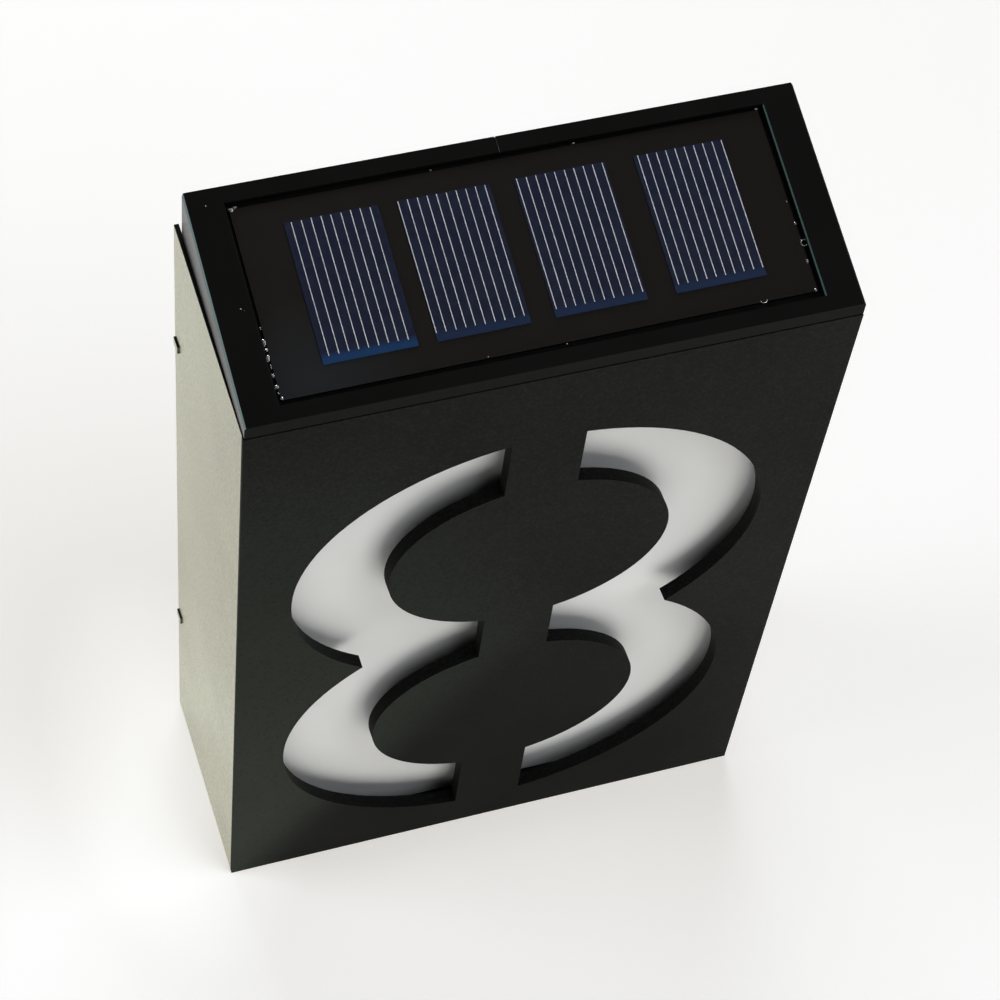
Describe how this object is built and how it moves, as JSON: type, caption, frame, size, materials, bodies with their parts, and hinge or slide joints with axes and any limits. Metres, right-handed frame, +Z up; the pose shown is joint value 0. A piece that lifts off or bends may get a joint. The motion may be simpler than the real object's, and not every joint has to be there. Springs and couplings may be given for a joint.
{
  "type": "illuminated house number sign",
  "caption": "Solar house number sign: black sheet housing with a stencilled numeral over an opal diffuser, and a lift-off wedge lid with solar panel and light strip.",
  "frame": {"origin": "centre of the base, on the surface that the sign stands on", "axes": "+Z up, +Y from the stencilled front to the rear, +X to the right as seen from the front"},
  "size_m": [0.147, 0.057, 0.218],
  "materials": {
    "black_sheet": "matt powder coat on aluminium or steel sheet",
    "black_liner": "black plastic sheet",
    "black_moulding": "moulded black plastic, satin",
    "opal_acrylic": "opal white acrylic sheet, satin face",
    "white_sheet": "white plastic sheet",
    "foam_seal": "closed-cell foam",
    "screw_steel": "zinc plated",
    "panel_board": "resin-coated circuit board, dark brown",
    "solar_cell": "polycrystalline silicon, navy",
    "sealant": "silicone sealant",
    "battery_sleeve": "printed sleeve on a steel can",
    "nickel_contact": "nickel plated",
    "circuit_board": "green solder mask",
    "white_board": "white solder mask",
    "black_chip": "moulded",
    "copper_coil": "enamelled copper",
    "capacitor_sleeve": "shrink sleeve",
    "switch_knob": "moulded",
    "led_lens": "moulded clear lens",
    "red_lead": "PVC",
    "black_lead": "PVC"
  },
  "bodies": {
    "housing": {"front_panel": "black_sheet", "left_side_panel": "black_sheet", "right_side_panel": "black_sheet", "base_panel": "black_sheet", "back_plate": "black_sheet", "stencil_liner": "black_liner", "rear_cleat_left": "black_liner", "rear_cleat_right": "black_liner", "diffuser_clips": "black_liner", "lid_rest_left": "black_liner", "lid_rest_right": "black_liner", "diffuser_spacer_left": "black_liner", "diffuser_spacer_right": "black_liner", "diffuser_spacer_bottom": "black_liner", "diffuser_spacer_top": "black_liner", "back_screws": "screw_steel", "opal_diffuser": "opal_acrylic", "white_reflector": "white_sheet", "lid_seal": "foam_seal"},
    "lid": {"lid_frame": "black_moulding", "solar_panel_board": "panel_board", "panel_sealant": "sealant", "solar_cell_1": "solar_cell", "solar_cell_2": "solar_cell", "solar_cell_3": "solar_cell", "solar_cell_4": "solar_cell", "module_cover": "black_moulding", "module_screws": "screw_steel", "battery_cradle": "black_moulding", "battery_contact": "nickel_contact", "battery_spring": "nickel_contact", "control_board": "circuit_board", "board_pillars": "black_moulding", "charge_chip": "black_chip", "boost_coil": "copper_coil", "capacitor": "capacitor_sleeve", "switch_body": "black_chip", "led_board": "white_board", "leds": "led_lens", "led_screws": "screw_steel", "panel_lead_plus": "red_lead", "panel_lead_minus": "black_lead", "battery_lead_plus": "red_lead", "battery_lead_minus": "black_lead", "led_lead_plus": "red_lead", "led_lead_minus": "black_lead"},
    "battery": {"battery": "battery_sleeve"},
    "switch_slider": {"switch_knob": "switch_knob"}
  },
  "joints": [
    {"name": "lid_lift", "type": "slide", "parent": "housing", "child": "lid", "axis": [0, 0, 1], "range_m": [0, 0.06]},
    {"name": "battery_pull", "type": "slide", "parent": "lid", "child": "battery", "axis": [0, 0, -1], "range_m": [0, 0.02]},
    {"name": "switch_slide", "type": "slide", "parent": "lid", "child": "switch_slider", "axis": [1, 0, 0], "range_m": [0, 0.003]}
  ]
}
